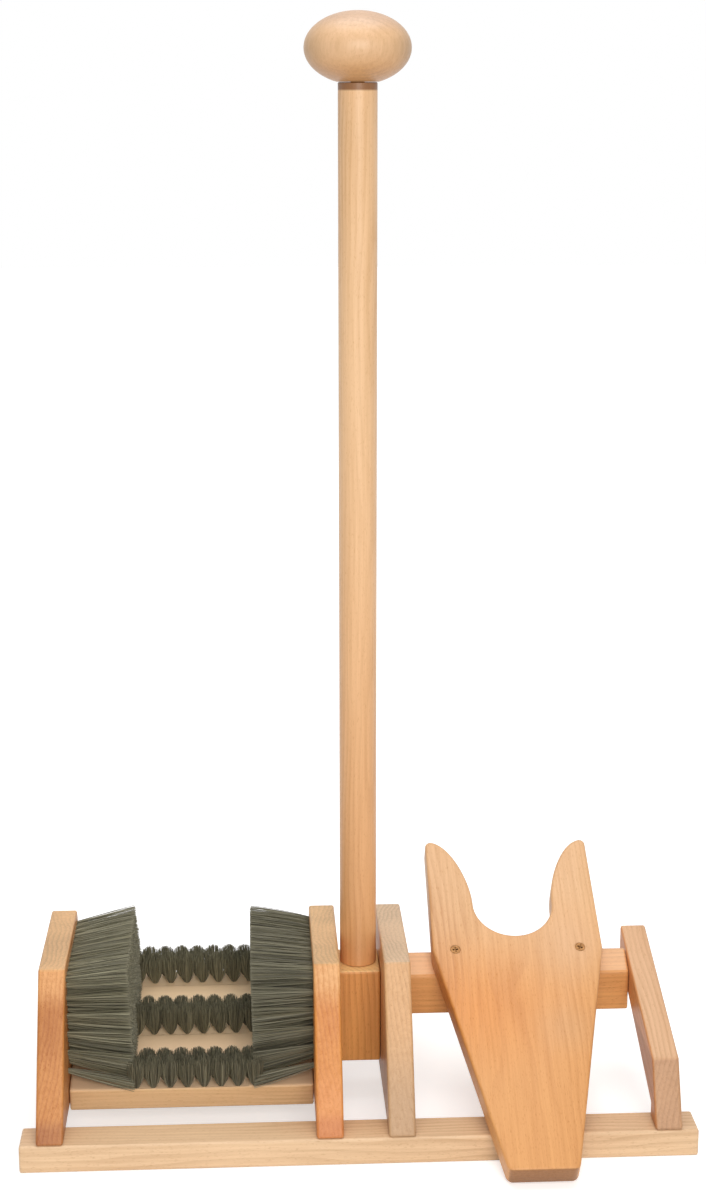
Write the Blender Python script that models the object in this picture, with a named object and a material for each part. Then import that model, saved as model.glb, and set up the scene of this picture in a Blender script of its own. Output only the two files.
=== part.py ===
"""Boot scraper in oiled beech: two side brushes and a bottom brush, a tall handle and a boot jack.

Metres, +Z up, +X to the right. The origin is the middle of the front rail's underside.
Depths are measured back from the front rail's front face, heights up from the floor.
"""
import math
import random

import bpy
import bmesh
from mathutils import Matrix, Vector
from mathutils.geometry import interpolate_bezier

# Fits
GAP = 0.0003
EDGE_ROUND = 0.0016
CUT_OVERRUN = 0.004

# Rails on the floor
RAIL_DEPTH = 0.030
RAIL_HEIGHT = 0.021
RAIL_OVERHANG = 0.01225

# Upright boards, from the left: left, middle left, middle right, and the low right arm
BOARD_THICKNESS = 0.020
BOARD_DEPTH = 0.240
BOARD_TOP_DEPTH = 0.114
BOARD_TOP_Z = 0.132
BRUSH_BAY = 0.185
POLE_BAY = 0.033
JACK_BAY = 0.1775

# Right arm
ARM_FOOT_DEPTH = 0.023
ARM_HEEL_Z = 0.032
ARM_BROW_DEPTH = 0.0225
ARM_BROW_Z = 0.0685
ARM_REAR_DEPTH = 0.165
ARM_REAR_TOP_Z = 0.1145
ARM_REAR_BOTTOM_Z = 0.090

# Handle
BLOCK_DEPTH = 0.044
BLOCK_BOTTOM_Z = 0.034
BLOCK_TOP_Z = 0.109
POLE_RADIUS = 0.014
POLE_TOP_Z = 0.7723
TENON_RADIUS = 0.010
TENON_LENGTH = 0.045
POLE_CHAMFER = 0.001
KNOB_RADIUS = 0.0379
KNOB_HALF_HEIGHT = 0.0252
KNOB_SEAT_RADIUS = 0.015
KNOB_DOWEL_RADIUS = 0.005
KNOB_DOWEL_LENGTH = 0.044

# Boot jack and its crossbar
JACK_TILT = math.radians(31.0)
JACK_THICKNESS = 0.019
JACK_LENGTH = 0.2985
JACK_WIDTH = 0.1335
JACK_END_WIDTH = 0.053
JACK_SHOULDER = 0.191
JACK_END_CORNER = 0.003
JACK_EDGE_ROUND = 0.0022
JACK_FLOOR_CLEARANCE = 0.0008
NOTCH_BOTTOM = 0.2045
NOTCH_RADIUS = 0.0315
HORN_TIP_RADIUS = 0.0045
HORN_LEAN = 0.0012
HORN_TIP_TURN = math.radians(105.0)
FLARE_LOW_HANDLE = 0.022
FLARE_HIGH_HANDLE = 0.016
CROSSBAR_SETBACK = 0.024
CROSSBAR_THICKNESS = 0.020
CROSSBAR_BOTTOM_Z = 0.0615

# Bottom brush plank
PLANK_FRONT = 0.0565
PLANK_TOP_Z = 0.0362
PLANK_LENGTH = 0.150
PLANK_THICKNESS = 0.019
PLANK_RISE = math.radians(11.3)

# Bristles
SLICE_THICKNESS = 0.003
TUFT_PITCH = 0.0128
BOTTOM_ROW_TUFTS = 6
BOTTOM_ROWS = 2
BOTTOM_TUFT_STRANDS = 3
BOTTOM_ROW_STEP = 0.010
BOTTOM_BAND_STEP = 0.0645
BOTTOM_BRISTLE_LENGTH = 0.026
BAND_FRONT_MARGIN = 0.0055
SLICE_MARGIN = 0.004
SIDE_BRISTLE_LENGTH = 0.047
SIDE_ROWS = 8
SIDE_COLUMNS = 10
SIDE_TOP_MARGIN = 0.006
SIDE_EDGE_MARGIN = 0.0035
SIDE_PLANK_CLEARANCE = 0.003
FAN_CENTRE_Z = 0.062
FAN_HEIGHT_SHARE = 1.14
FAN_DEPTH_SHARE = 1.08
STRAND_RADIUS = 0.0011
STRAND_TIP_RADIUS = 0.0007
STRAND_ROOT = 0.0012
SIDE_STRAND_SPREAD = 0.0016
BOTTOM_STRAND_SPREAD = 0.0019
BOTTOM_SPLAY_SHARE = 1.35
STRAND_JITTER = 0.0004
STRAND_SIDES = 3

# Screws and dowels
SCREW_RADIUS = 0.002
SCREW_HEAD_RADIUS = 0.004
SCREW_HEAD_DEPTH = 0.0026
SCREW_POINT = 0.004
SCREW_SUNK = 0.0004
RAIL_SCREW_LENGTH = 0.035
RAIL_SCREW_INSET = 0.013
REAR_SCREW_INSET = 0.013
JACK_SCREW_LENGTH = 0.030
JACK_SCREW_SPACING = 0.098
PLANK_SCREW_LENGTH = 0.040
PLANK_SCREW_INSET = 0.030
DOWEL_RADIUS = 0.003
DOWEL_LENGTH = 0.024
DOWEL_CHAMFER = 0.0008
CROSSBAR_DOWEL_SHARES = (0.24, 0.70)
BLOCK_DOWEL_EDGE = 0.015
SPIKE_RADIUS_SHARE = 0.12

ROUND_STEPS = 12
POLE_STEPS = 24
KNOB_RINGS = 12
ARC_STEPS = 7

# Places worked out from the sizes
FRONT_Y = -RAIL_DEPTH / 2
FRAME_WIDTH = 4 * BOARD_THICKNESS + BRUSH_BAY + POLE_BAY + JACK_BAY
LEFT_X = -FRAME_WIDTH / 2
BRUSH_LEFT_X = LEFT_X + BOARD_THICKNESS
BRUSH_RIGHT_X = BRUSH_LEFT_X + BRUSH_BAY
POLE_BAY_LEFT_X = BRUSH_RIGHT_X + BOARD_THICKNESS
POLE_BAY_RIGHT_X = POLE_BAY_LEFT_X + POLE_BAY
JACK_BAY_LEFT_X = POLE_BAY_RIGHT_X + BOARD_THICKNESS
JACK_BAY_RIGHT_X = JACK_BAY_LEFT_X + JACK_BAY
RIGHT_X = JACK_BAY_RIGHT_X + BOARD_THICKNESS
BRUSH_X = (BRUSH_LEFT_X + BRUSH_RIGHT_X) / 2
POLE_X = (POLE_BAY_LEFT_X + POLE_BAY_RIGHT_X) / 2
JACK_X = (JACK_BAY_LEFT_X + JACK_BAY_RIGHT_X) / 2
MIDDLE_DEPTH = BOARD_DEPTH / 2
BOARD_FOOT_Z = RAIL_HEIGHT + GAP
BOARD_SLOPE_DEPTH = (BOARD_DEPTH - BOARD_TOP_DEPTH) / 2
REAR_RAIL_DEPTH = BOARD_DEPTH - RAIL_DEPTH
KNOB_SEAT_DROP = KNOB_HALF_HEIGHT * math.sqrt(1 - (KNOB_SEAT_RADIUS / KNOB_RADIUS) ** 2)
KNOB_Z = POLE_TOP_Z + GAP + KNOB_SEAT_DROP
JACK_TOE_DEPTH = -(RAIL_HEIGHT + GAP - JACK_FLOOR_CLEARANCE) / math.tan(JACK_TILT)
CROSSBAR_FRONT = ARM_REAR_DEPTH - CROSSBAR_SETBACK - CROSSBAR_THICKNESS
CROSSBAR_MIDDLE_DEPTH = CROSSBAR_FRONT + CROSSBAR_THICKNESS / 2
JACK_SCREW_REACH = (CROSSBAR_MIDDLE_DEPTH - JACK_TOE_DEPTH) / math.cos(JACK_TILT)

BEECH = (0.75, 0.43, 0.21)
BEECH_PALE = (0.80, 0.52, 0.30)
BEECH_DARK = (0.64, 0.33, 0.14)
BRISTLE_COLOUR = (0.085, 0.085, 0.062)
STEEL_COLOUR = (0.55, 0.50, 0.42)
WOOD_ROUGHNESS = 0.55
BRISTLE_ROUGHNESS = 0.60
STEEL_ROUGHNESS = 0.35

BAND_NAMES = ("bottom_bristles_front", "bottom_bristles_middle", "bottom_bristles_rear")


def y_at(depth):
    """The Y of a place that lies this far behind the front rail's front face."""
    return FRONT_Y + depth


def clear_scene():
    for old in list(bpy.data.objects):
        bpy.data.objects.remove(old)


def material(name, colour, roughness, metallic=0.0):
    """The sub-part's own finish."""
    finish = bpy.data.materials.new(name)
    finish.use_nodes = True
    shader = finish.node_tree.nodes["Principled BSDF"]
    shader.inputs["Base Color"].default_value = (*colour, 1.0)
    shader.inputs["Roughness"].default_value = roughness
    shader.inputs["Metallic"].default_value = metallic
    return finish


def wood(name, colour=BEECH):
    return material(name, colour, WOOD_ROUGHNESS)


def steel(name):
    return material(name, STEEL_COLOUR, STEEL_ROUGHNESS, 1.0)


def bristle(name):
    return material(name, BRISTLE_COLOUR, BRISTLE_ROUGHNESS)


def object_from(name, bm, finish=None):
    """Turns a bmesh into a named object with its faces pointing out."""
    bmesh.ops.recalc_face_normals(bm, faces=bm.faces)
    mesh = bpy.data.meshes.new(name)
    bm.to_mesh(mesh)
    bm.free()
    piece = bpy.data.objects.new(name, mesh)
    bpy.context.scene.collection.objects.link(piece)
    if finish:
        mesh.materials.append(finish)
    return piece


def prism(bm, outline, along):
    """A closed solid from a flat outline of points, pushed along a vector."""
    face = bm.faces.new([bm.verts.new(point) for point in outline])
    pushed = bmesh.ops.extrude_face_region(bm, geom=[face])
    ends = [item for item in pushed["geom"] if isinstance(item, bmesh.types.BMVert)]
    bmesh.ops.translate(bm, verts=ends, vec=along)


def turned(bm, profile, place, steps):
    """A closed solid of revolution about local Z from (radius, height) pairs, axis point to axis point."""
    rings = []
    for radius, height in profile:
        if radius == 0:
            rings.append([bm.verts.new(place @ Vector((0, 0, height)))])
            continue
        angles = [2 * math.pi * step / steps for step in range(steps)]
        rings.append([bm.verts.new(place @ Vector((radius * math.cos(a), radius * math.sin(a), height)))
                      for a in angles])
    for low, high in zip(rings, rings[1:]):
        for step in range(steps):
            after = (step + 1) % steps
            corners = [low[step % len(low)], low[after % len(low)]]
            corners += [high[after % len(high)], high[step % len(high)]]
            bm.faces.new(list(dict.fromkeys(corners)))


def round_edges(piece, width, segments=2):
    """Softens every sharp edge, as a sander does."""
    bevel = piece.modifiers.new("rounded_edges", "BEVEL")
    bevel.width = width
    bevel.segments = segments
    bevel.limit_method = "ANGLE"
    bevel.angle_limit = math.radians(30.0)
    bevel.use_clamp_overlap = True


def cut(piece, cutter):
    """Takes the cutter's shape out of the piece."""
    cutter.hide_render = True
    cutter.display_type = "WIRE"
    hole = piece.modifiers.new(cutter.name, "BOOLEAN")
    hole.operation = "DIFFERENCE"
    hole.solver = "EXACT"
    hole.object = cutter


def smooth(piece, angle=math.radians(35.0)):
    piece.data.shade_smooth()
    piece.data.set_sharp_from_angle(angle=angle)


def side_outline(points, x):
    """Points (depth, height) of an upright board, placed at one X."""
    return [(x, y_at(depth), height) for depth, height in points]


def board(name, points, left_x, finish):
    """A flat board standing across the object, from its left face."""
    bm = bmesh.new()
    prism(bm, side_outline(points, left_x), (BOARD_THICKNESS, 0, 0))
    piece = object_from(name, bm, finish)
    round_edges(piece, EDGE_ROUND)
    return piece


def tall_outline():
    """The brush boards' outline: a flat top and two slanted edges."""
    return [(0, BOARD_FOOT_Z), (BOARD_DEPTH, BOARD_FOOT_Z),
            (BOARD_DEPTH - BOARD_SLOPE_DEPTH, BOARD_TOP_Z), (BOARD_SLOPE_DEPTH, BOARD_TOP_Z)]


def arm_outline():
    """The right arm's outline: a short foot on the front rail and a long rise to the back."""
    return [(0, BOARD_FOOT_Z), (ARM_FOOT_DEPTH, BOARD_FOOT_Z), (ARM_FOOT_DEPTH, ARM_HEEL_Z),
            (ARM_REAR_DEPTH, ARM_REAR_BOTTOM_Z), (ARM_REAR_DEPTH, ARM_REAR_TOP_Z),
            (ARM_BROW_DEPTH, ARM_BROW_Z)]


def rail(name, left_x, right_x, depth, finish):
    """A square-sawn rail lying on the floor."""
    corners = [(depth, 0), (depth + RAIL_DEPTH, 0), (depth + RAIL_DEPTH, RAIL_HEIGHT), (depth, RAIL_HEIGHT)]
    bm = bmesh.new()
    prism(bm, side_outline(corners, left_x), (right_x - left_x, 0, 0))
    piece = object_from(name, bm, finish)
    round_edges(piece, EDGE_ROUND)
    return piece


def pointing(start, direction):
    """A frame at a point whose local Z runs along a direction."""
    return Matrix.Translation(start) @ Vector(direction).to_track_quat("Z", "Y").to_matrix().to_4x4()


def screw_profile(length, extra=0.0):
    """A countersunk screw from its head's face down to its point; extra widens it into its hole."""
    head = SCREW_HEAD_RADIUS + extra
    shank = SCREW_RADIUS + extra
    return [(0, -extra), (head, -extra), (shank, SCREW_HEAD_DEPTH), (shank, length - SCREW_POINT),
            (SCREW_RADIUS * SPIKE_RADIUS_SHARE + extra, length + extra), (0, length + extra)]


def copies(name, places, profile, finish):
    """Equal turned pieces that share one mesh, numbered from 1; each place is (start, direction)."""
    bm = bmesh.new()
    turned(bm, profile, Matrix.Identity(4), ROUND_STEPS)
    first = object_from(name + "_1", bm, finish)
    smooth(first)
    for number, (start, direction) in enumerate(places, 1):
        piece = first
        if number > 1:
            piece = bpy.data.objects.new(f"{name}_{number}", first.data)
            bpy.context.scene.collection.objects.link(piece)
        piece.matrix_world = pointing(start, direction)


def screw_holes(name, places, length):
    """The holes of those screws, open at the head's side."""
    bm = bmesh.new()
    for start, direction in places:
        profile = screw_profile(length, GAP)
        mouth = [(0, -CUT_OVERRUN), (profile[1][0], -CUT_OVERRUN)]
        turned(bm, mouth + profile[1:], pointing(start, direction), ROUND_STEPS)
    return object_from(name, bm)


def dowel_profile(radius, length):
    """A plain dowel with softened ends."""
    return [(0, 0), (radius - DOWEL_CHAMFER, 0), (radius, DOWEL_CHAMFER), (radius, length - DOWEL_CHAMFER),
            (radius - DOWEL_CHAMFER, length), (0, length)]


def dowel_holes(name, places, radius, length):
    """The bores of those dowels, a gap larger all round."""
    bore = radius + GAP
    profile = [(0, -GAP), (bore, -GAP), (bore, length + GAP), (0, length + GAP)]
    bm = bmesh.new()
    for start, direction in places:
        turned(bm, profile, pointing(start, direction), ROUND_STEPS)
    return object_from(name, bm)


def jack_frame():
    """The jack's own frame: X across it, Y up its slope from the toe, Z out of its upper face."""
    toe = Vector((JACK_X, y_at(JACK_TOE_DEPTH), JACK_FLOOR_CLEARANCE))
    return Matrix.Translation(toe) @ Matrix.Rotation(JACK_TILT, 4, "X")


def underside_z(depth):
    """Height of the jack's underside at a depth behind the rail's front face."""
    return JACK_FLOOR_CLEARANCE + (depth - JACK_TOE_DEPTH) * math.tan(JACK_TILT)


def jack_half_outline():
    """The right half of the jack, from the middle of its lower end round to the notch's bottom."""
    half_end = JACK_END_WIDTH / 2
    half = JACK_WIDTH / 2
    tip = Vector((half - HORN_LEAN - HORN_TIP_RADIUS, JACK_LENGTH - HORN_TIP_RADIUS))
    centre = Vector((0, NOTCH_BOTTOM + NOTCH_RADIUS))
    points = [(half_end - JACK_END_CORNER, 0), (half_end, JACK_END_CORNER), (half, JACK_SHOULDER)]
    for step in range(ARC_STEPS + 1):
        angle = HORN_TIP_TURN * step / ARC_STEPS
        points.append((tip.x + HORN_TIP_RADIUS * math.cos(angle), tip.y + HORN_TIP_RADIUS * math.sin(angle)))
    inward = Vector((-math.sin(HORN_TIP_TURN), math.cos(HORN_TIP_TURN)))
    flare_top = Vector(points[-1])
    flare_low = centre + Vector((NOTCH_RADIUS, 0))
    flare = interpolate_bezier(flare_top, flare_top + inward * FLARE_HIGH_HANDLE,
                               flare_low + Vector((0, FLARE_LOW_HANDLE)), flare_low, ARC_STEPS)
    points += [(point.x, point.y) for point in flare[1:]]
    for step in range(1, ARC_STEPS + 1):
        angle = -math.pi / 2 * step / ARC_STEPS
        points.append((centre.x + NOTCH_RADIUS * math.cos(angle), centre.y + NOTCH_RADIUS * math.sin(angle)))
    return points


def boot_jack(finish):
    """The flat jack board with its heel notch, lying up its slope."""
    right = jack_half_outline()
    left = [(-x, s) for x, s in reversed(right[:-1])]
    bm = bmesh.new()
    prism(bm, [(x, s, 0) for x, s in right + left], (0, 0, JACK_THICKNESS))
    piece = object_from("boot_jack", bm, finish)
    piece.matrix_world = jack_frame()
    round_edges(piece, JACK_EDGE_ROUND)
    return piece


def crossbar(finish):
    """The batten on edge under the jack, its top planed to the jack's slope."""
    rear = CROSSBAR_FRONT + CROSSBAR_THICKNESS
    lift = GAP / math.cos(JACK_TILT)
    outline = [(CROSSBAR_FRONT, CROSSBAR_BOTTOM_Z), (rear, CROSSBAR_BOTTOM_Z),
               (rear, underside_z(rear) - lift), (CROSSBAR_FRONT, underside_z(CROSSBAR_FRONT) - lift)]
    bm = bmesh.new()
    prism(bm, side_outline(outline, JACK_BAY_LEFT_X + GAP), (JACK_BAY - 2 * GAP, 0, 0))
    piece = object_from("crossbar", bm, finish)
    round_edges(piece, EDGE_ROUND)
    return piece


def pole_block(finish):
    """The block that fills the pole bay and takes the handle's tenon."""
    front = MIDDLE_DEPTH - BLOCK_DEPTH / 2
    rear = MIDDLE_DEPTH + BLOCK_DEPTH / 2
    outline = [(front, BLOCK_BOTTOM_Z), (rear, BLOCK_BOTTOM_Z), (rear, BLOCK_TOP_Z), (front, BLOCK_TOP_Z)]
    bm = bmesh.new()
    prism(bm, side_outline(outline, POLE_BAY_LEFT_X + GAP), (POLE_BAY - 2 * GAP, 0, 0))
    piece = object_from("pole_block", bm, finish)
    round_edges(piece, EDGE_ROUND)
    socket = bmesh.new()
    bore = TENON_RADIUS + GAP
    floor_z = BLOCK_TOP_Z - TENON_LENGTH - GAP
    mouth_z = BLOCK_TOP_Z + CUT_OVERRUN
    profile = [(0, floor_z), (bore, floor_z), (bore, mouth_z), (0, mouth_z)]
    turned(socket, profile, Matrix.Translation((POLE_X, y_at(MIDDLE_DEPTH), 0)), POLE_STEPS)
    cut(piece, object_from("pole_socket_cutter", socket))
    return piece


def handle_pole(finish):
    """The round handle with its turned tenon, bored at the top for the knob's dowel."""
    shoulder = BLOCK_TOP_Z + GAP
    tenon_end = BLOCK_TOP_Z - TENON_LENGTH
    bore = KNOB_DOWEL_RADIUS + GAP
    bore_floor = POLE_TOP_Z - KNOB_DOWEL_LENGTH / 2 - GAP
    profile = [(0, tenon_end), (TENON_RADIUS - POLE_CHAMFER, tenon_end),
               (TENON_RADIUS, tenon_end + POLE_CHAMFER), (TENON_RADIUS, shoulder),
               (POLE_RADIUS - POLE_CHAMFER, shoulder), (POLE_RADIUS, shoulder + POLE_CHAMFER),
               (POLE_RADIUS, POLE_TOP_Z - POLE_CHAMFER), (POLE_RADIUS - POLE_CHAMFER, POLE_TOP_Z),
               (bore, POLE_TOP_Z), (bore, bore_floor), (0, bore_floor)]
    bm = bmesh.new()
    turned(bm, profile, Matrix.Identity(4), POLE_STEPS)
    piece = object_from("handle_pole", bm, finish)
    piece.location = (POLE_X, y_at(MIDDLE_DEPTH), 0)
    smooth(piece)
    return piece


def handle_knob(finish):
    """The flattened round knob, with a flat seat and a bore underneath."""
    seat = math.asin(KNOB_SEAT_RADIUS / KNOB_RADIUS)
    bore = KNOB_DOWEL_RADIUS + GAP
    bore_top = KNOB_DOWEL_LENGTH / 2 + GAP - KNOB_SEAT_DROP
    profile = [(0, KNOB_HALF_HEIGHT)]
    for ring in range(1, KNOB_RINGS + 1):
        angle = (math.pi - seat) * ring / KNOB_RINGS
        profile.append((KNOB_RADIUS * math.sin(angle), KNOB_HALF_HEIGHT * math.cos(angle)))
    profile += [(bore, -KNOB_SEAT_DROP), (bore, bore_top), (0, bore_top)]
    bm = bmesh.new()
    turned(bm, profile, Matrix.Identity(4), POLE_STEPS)
    piece = object_from("handle_knob", bm, finish)
    piece.location = (POLE_X, y_at(MIDDLE_DEPTH), KNOB_Z)
    smooth(piece)
    return piece


def plank_frame():
    """The bottom brush's frame: X across, Y back along its rise from the front top edge, Z out of its top."""
    edge = Matrix.Translation((BRUSH_X, y_at(PLANK_FRONT), PLANK_TOP_Z))
    return edge @ Matrix.Rotation(PLANK_RISE, 4, "X")


def band_start(band):
    """Where a band's slice of backing begins along the plank."""
    return BAND_FRONT_MARGIN - SLICE_MARGIN + band * BOTTOM_BAND_STEP


def band_width():
    return BOTTOM_ROW_TUFTS * TUFT_PITCH + 2 * SLICE_MARGIN


def band_depth():
    return BOTTOM_ROW_STEP + 2 * SLICE_MARGIN


def block_in(bm, low, high, place):
    """A plain block between two corners of a frame."""
    base = [(low[0], low[1], low[2]), (high[0], low[1], low[2]),
            (high[0], high[1], low[2]), (low[0], high[1], low[2])]
    up = place.to_3x3() @ Vector((0, 0, high[2] - low[2]))
    prism(bm, [place @ Vector(point) for point in base], up)


def brush_plank(finish):
    """The inclined plank across the brush bay, with a shallow pocket for each band of bristles."""
    half = BRUSH_BAY / 2 - GAP
    bm = bmesh.new()
    block_in(bm, (-half, 0, -PLANK_THICKNESS), (half, PLANK_LENGTH, 0), plank_frame())
    piece = object_from("brush_plank", bm, finish)
    round_edges(piece, EDGE_ROUND)
    pockets = bmesh.new()
    for band in range(len(BAND_NAMES)):
        start = band_start(band)
        block_in(pockets, (-band_width() / 2 - GAP, start - GAP, -SLICE_THICKNESS - GAP),
                 (band_width() / 2 + GAP, start + band_depth() + GAP, CUT_OVERRUN), plank_frame())
    cut(piece, object_from("plank_pocket_cutter", pockets))
    return piece


def strand(bm, root, tip, turn):
    """One stiff strand with a few flat sides, thinner at its tip."""
    reach = tip - root
    frame = pointing(root, reach) @ Matrix.Rotation(turn, 4, "Z")
    turned(bm, [(0, 0), (STRAND_RADIUS, 0), (STRAND_TIP_RADIUS, reach.length), (0, reach.length)],
           frame, STRAND_SIDES)


def brush(name, slice_bm, roots_and_tips, chance):
    """Strands fused to their slice of backing as one solid."""
    piece = object_from(name, slice_bm, bristle(name))
    bm = bmesh.new()
    for root, tip in roots_and_tips:
        strand(bm, root, tip, chance.uniform(0, 2 * math.pi))
    strands = object_from(name + "_strands", bm)
    strands.hide_render = True
    strands.display_type = "WIRE"
    fuse = piece.modifiers.new("fused_strands", "BOOLEAN")
    fuse.operation = "UNION"
    fuse.solver = "EXACT"
    fuse.object = strands
    return piece


def bottom_brush(band):
    """One band of the bottom brush: a staggered double row of tufts, three strands to a tuft."""
    name = BAND_NAMES[band]
    chance = random.Random(name)
    place = plank_frame()
    bm = bmesh.new()
    start = band_start(band)
    block_in(bm, (-band_width() / 2, start, -SLICE_THICKNESS),
             (band_width() / 2, start + band_depth(), 0), place)
    ends = []
    for row in range(BOTTOM_ROWS):
        count = BOTTOM_ROW_TUFTS + row
        for column in range(count):
            x = (column - (count - 1) / 2) * TUFT_PITCH
            y = start + SLICE_MARGIN + row * BOTTOM_ROW_STEP
            for turn in range(BOTTOM_TUFT_STRANDS):
                angle = 2 * math.pi * turn / BOTTOM_TUFT_STRANDS + row
                aside = Vector((math.cos(angle), math.sin(angle), 0)) * BOTTOM_STRAND_SPREAD
                jitter = Vector((chance.uniform(-1, 1), chance.uniform(-1, 1), 0)) * STRAND_JITTER
                root = Vector((x, y, -STRAND_ROOT)) + aside
                tip = Vector((x, y, BOTTOM_BRISTLE_LENGTH)) + aside * BOTTOM_SPLAY_SHARE + jitter
                ends.append((place @ root, place @ tip))
    return brush(name, bm, ends, chance)


def side_corners():
    """The side brushes' slice of backing, as (depth, height) corners inside the board's outline."""
    top = BOARD_TOP_Z - SIDE_TOP_MARGIN
    slope = BOARD_SLOPE_DEPTH / (BOARD_TOP_Z - BOARD_FOOT_Z)
    front_top = (top - BOARD_FOOT_Z) * slope + SIDE_EDGE_MARGIN
    rear_low = PLANK_FRONT + PLANK_LENGTH * math.cos(PLANK_RISE) - SIDE_EDGE_MARGIN
    low = PLANK_TOP_Z + SIDE_PLANK_CLEARANCE
    rise = (rear_low - PLANK_FRONT) * math.tan(PLANK_RISE)
    return [(PLANK_FRONT, low), (rear_low, low + rise), (BOARD_DEPTH - front_top, top), (front_top, top)]


def side_tufts():
    """Tuft places (depth, height) on a staggered grid that fills the slice of backing."""
    front_low, rear_low, rear_top, front_top = [Vector(corner) for corner in side_corners()]
    places = []
    for row in range(SIDE_ROWS):
        up = row / (SIDE_ROWS - 1)
        count = SIDE_COLUMNS - row % 2
        front = front_low.lerp(front_top, up)
        rear = rear_low.lerp(rear_top, up)
        margin = Vector((SLICE_MARGIN, SLICE_MARGIN)).lerp(Vector((SLICE_MARGIN, -SLICE_MARGIN)), up)
        front_in = front + margin
        rear_in = rear + Vector((-margin.x, margin.y))
        for column in range(count):
            along = (column + (row % 2) / 2) / (SIDE_COLUMNS - 1)
            places.append(front_in.lerp(rear_in, along))
    return places


def side_brush(name, face_x, inward):
    """A side brush on a board's inner face; inward is +1 or -1 along X."""
    chance = random.Random(name)
    bm = bmesh.new()
    prism(bm, side_outline(side_corners(), face_x), (-inward * SLICE_THICKNESS, 0, 0))
    ends = []
    fan = Vector((MIDDLE_DEPTH, FAN_CENTRE_Z))
    for place in side_tufts():
        for side in (-1, 1):
            base = place + Vector((side * SIDE_STRAND_SPREAD, 0))
            out = base - fan
            far = fan + Vector((out.x * FAN_DEPTH_SHARE, out.y * FAN_HEIGHT_SHARE))
            far += Vector((chance.uniform(-1, 1), chance.uniform(-1, 1))) * STRAND_JITTER
            root = Vector((face_x - inward * STRAND_ROOT, y_at(base.x), base.y))
            tip = Vector((face_x + inward * SIDE_BRISTLE_LENGTH, y_at(far.x), far.y))
            ends.append((root, tip))
    return brush(name, bm, ends, chance)


def side_pocket(name, face_x, inward):
    """The shallow pocket in a board that takes the side brush's slice of backing."""
    corners = [Vector(corner) for corner in side_corners()]
    middle = sum(corners, Vector((0, 0))) / len(corners)
    grown = [corner + (corner - middle).normalized() * GAP * 2 for corner in corners]
    bm = bmesh.new()
    start = side_outline(grown, face_x + inward * CUT_OVERRUN)
    prism(bm, start, (-inward * (CUT_OVERRUN + SLICE_THICKNESS + GAP), 0, 0))
    return object_from(name, bm)


def rail_screw_places(depth, foot_xs):
    """Screws driven up through a rail into the feet above it."""
    return [(Vector((x, y_at(depth), SCREW_SUNK)), (0, 0, 1)) for x in foot_xs]


def plank_screw_places():
    """Screws driven through the boards into both ends of the bottom brush plank."""
    places = []
    for face_x, inward in ((LEFT_X, 1), (POLE_BAY_LEFT_X, -1)):
        for along in (PLANK_SCREW_INSET, PLANK_LENGTH - PLANK_SCREW_INSET):
            point = plank_frame() @ Vector((0, along, -PLANK_THICKNESS / 2))
            places.append((Vector((face_x + inward * SCREW_SUNK, point.y, point.z)), (inward, 0, 0)))
    return places


def jack_screw_places():
    """Screws driven square through the jack into the crossbar."""
    place = jack_frame()
    down = place.to_3x3() @ Vector((0, 0, -1))
    height = JACK_THICKNESS - SCREW_SUNK
    return [(place @ Vector((side * JACK_SCREW_SPACING / 2, JACK_SCREW_REACH, height)), down)
            for side in (-1, 1)]


def block_dowel_places():
    """Dowels across both sides of the pole block, clear of the socket's bore."""
    depth_step = BLOCK_DEPTH / 2 - DOWEL_RADIUS * 2
    places = []
    for face_x in (POLE_BAY_LEFT_X, POLE_BAY_RIGHT_X):
        for side in (-1, 1):
            y = y_at(MIDDLE_DEPTH + side * depth_step)
            height = BLOCK_BOTTOM_Z + BLOCK_DOWEL_EDGE
            places.append((Vector((face_x - DOWEL_LENGTH / 2, y, height)), (1, 0, 0)))
    return places


def height_on_line(depth, front, rear):
    """Height at a depth on the straight edge between two (depth, height) corners."""
    share = (depth - front[0]) / (rear[0] - front[0])
    return front[1] + share * (rear[1] - front[1])


def crossbar_dowel_places():
    """Two dowels in each end of the crossbar, at the heights that it shares with the arm."""
    depth = CROSSBAR_MIDDLE_DEPTH
    brow, top = (ARM_BROW_DEPTH, ARM_BROW_Z), (ARM_REAR_DEPTH, ARM_REAR_TOP_Z)
    heel, bottom = (ARM_FOOT_DEPTH, ARM_HEEL_Z), (ARM_REAR_DEPTH, ARM_REAR_BOTTOM_Z)
    low = max(CROSSBAR_BOTTOM_Z, height_on_line(depth, heel, bottom))
    high = min(underside_z(depth), height_on_line(depth, brow, top))
    return [(Vector((face_x - DOWEL_LENGTH / 2, y_at(depth), low + share * (high - low))), (1, 0, 0))
            for face_x in (JACK_BAY_LEFT_X, JACK_BAY_RIGHT_X)
            for share in CROSSBAR_DOWEL_SHARES]


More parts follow.
